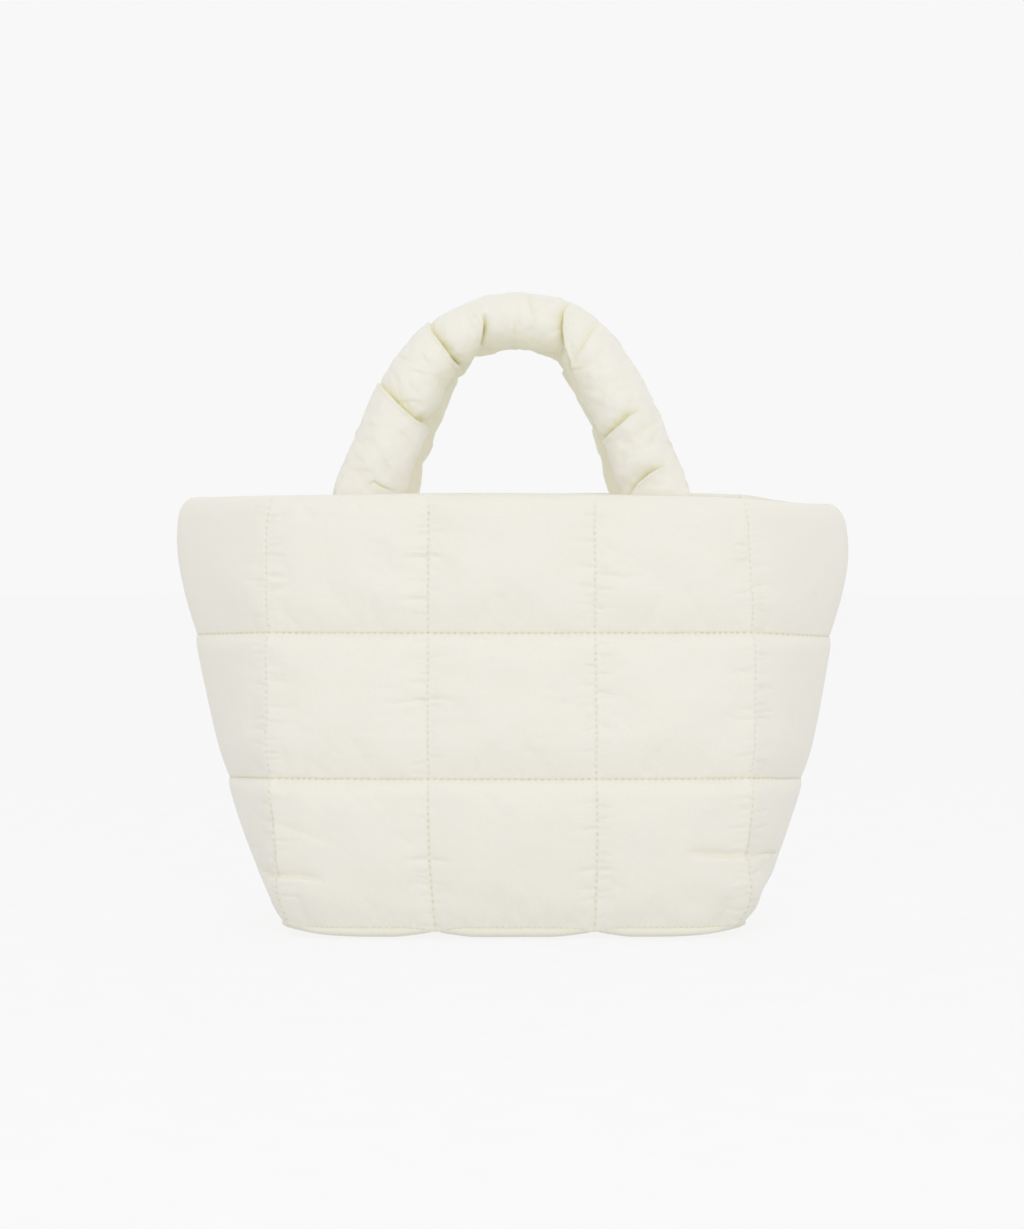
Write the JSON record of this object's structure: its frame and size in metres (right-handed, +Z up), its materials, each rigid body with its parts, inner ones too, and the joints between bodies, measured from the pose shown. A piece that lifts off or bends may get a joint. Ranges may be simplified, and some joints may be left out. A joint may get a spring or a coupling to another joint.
{
  "type": "padded tote bag",
  "caption": "Small open-topped quilted tote of ivory puffer cloth, with folded side gussets, a padded base and two stuffed tube handles sewn inside the rim.",
  "frame": {"origin": "middle of the base, on the surface that the bag stands on", "axes": "+Z up, the front faces -Y, +X to the right of someone looking at the front"},
  "size_m": [0.3394, 0.1382, 0.3166],
  "materials": {
    "ivory_cloth": "matte woven puffer cloth, ivory"
  },
  "bodies": {
    "root": {"front_panel": "ivory_cloth", "back_panel": "ivory_cloth", "left_gusset": "ivory_cloth", "right_gusset": "ivory_cloth", "base_panel": "ivory_cloth", "front_handle": "ivory_cloth", "back_handle": "ivory_cloth"}
  },
  "joints": []
}
